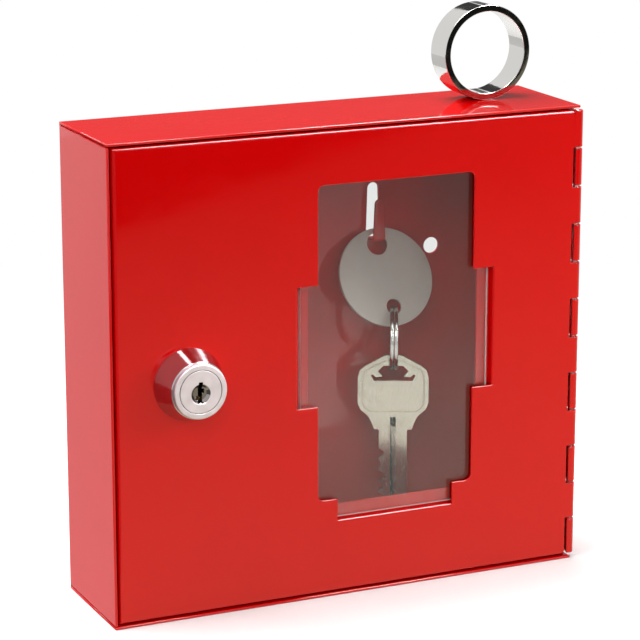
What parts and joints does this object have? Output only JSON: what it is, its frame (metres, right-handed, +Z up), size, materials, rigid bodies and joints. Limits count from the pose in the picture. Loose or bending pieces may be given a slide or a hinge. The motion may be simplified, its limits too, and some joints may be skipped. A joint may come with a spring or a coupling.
{
  "type": "break glass key box",
  "caption": "Red sheet-steel wall cabinet with a hinged, lockable door, a breakable window, an emergency key hanging inside and a loose steel striker ring on top.",
  "frame": {"origin": "centre of the cabinet's underside, ring and hinge barrel left out", "axes": "+X to the hinge side as seen from the front, +Y towards the wall, +Z up"},
  "size_m": [0.1598, 0.052, 0.1801],
  "materials": {
    "red_enamel": "gloss enamel with a light orange peel",
    "clear_pane": "clear, polished",
    "bright_chrome": "mirror chrome",
    "satin_chrome": "satin chrome",
    "zinc_steel": "bright zinc plate",
    "tumbler_brass": "stamped brass",
    "grey_tag": "matt fibre",
    "key_nickel": "nickel-plated, milled"
  },
  "bodies": {
    "cabinet": {"cabinet_shell": "red_enamel", "strike_bracket": "red_enamel", "hinge_pin": "zinc_steel"},
    "door": {"door_panel": "red_enamel", "break_glass": "clear_pane", "lock_collar": "bright_chrome", "lock_barrel": "satin_chrome", "lock_washer": "zinc_steel", "lock_nut": "zinc_steel"},
    "lock_cylinder": {"lock_plug": "satin_chrome", "tumbler_wafers": "tumbler_brass", "wafer_springs": "zinc_steel", "stop_washer": "zinc_steel", "lock_cam": "zinc_steel", "cam_washer": "zinc_steel", "cam_screw": "zinc_steel"},
    "tag": {"key_tag": "grey_tag"},
    "ring": {"split_ring": "bright_chrome"},
    "key": {"emergency_key": "key_nickel"},
    "striker": {"striker_ring": "bright_chrome"}
  },
  "joints": [
    {"name": "door_hinge", "type": "hinge", "parent": "cabinet", "child": "door", "pos_m": [0.079, -0.0192, 0.075], "axis": [0, 0, 1], "range_deg": [0, 180]},
    {"name": "lock_turn", "type": "hinge", "parent": "door", "child": "lock_cylinder", "pos_m": [-0.0542, -0.02, 0.075], "axis": [0, 1, 0], "range_deg": [0, 90]},
    {"name": "tag_swing", "type": "hinge", "parent": "cabinet", "child": "tag", "pos_m": [0.0264, 0.017, 0.1025], "axis": [0, 0.9063, -0.4226], "range_deg": [-10, 10]},
    {"name": "ring_swing", "type": "hinge", "parent": "tag", "child": "ring", "pos_m": [0.02823, 0.00816, 0.08354], "axis": [0.4226, 0.9063, 0], "range_deg": [-8, 8]},
    {"name": "key_swing", "type": "hinge", "parent": "ring", "child": "key", "pos_m": [0.02823, 0.00816, 0.06314], "axis": [0.4226, 0.9063, 0], "range_deg": [-8, 8]},
    {"name": "striker_lift", "type": "slide", "parent": "cabinet", "child": "striker", "axis": [0, 0, 1], "range_m": [0, 0.06]}
  ]
}
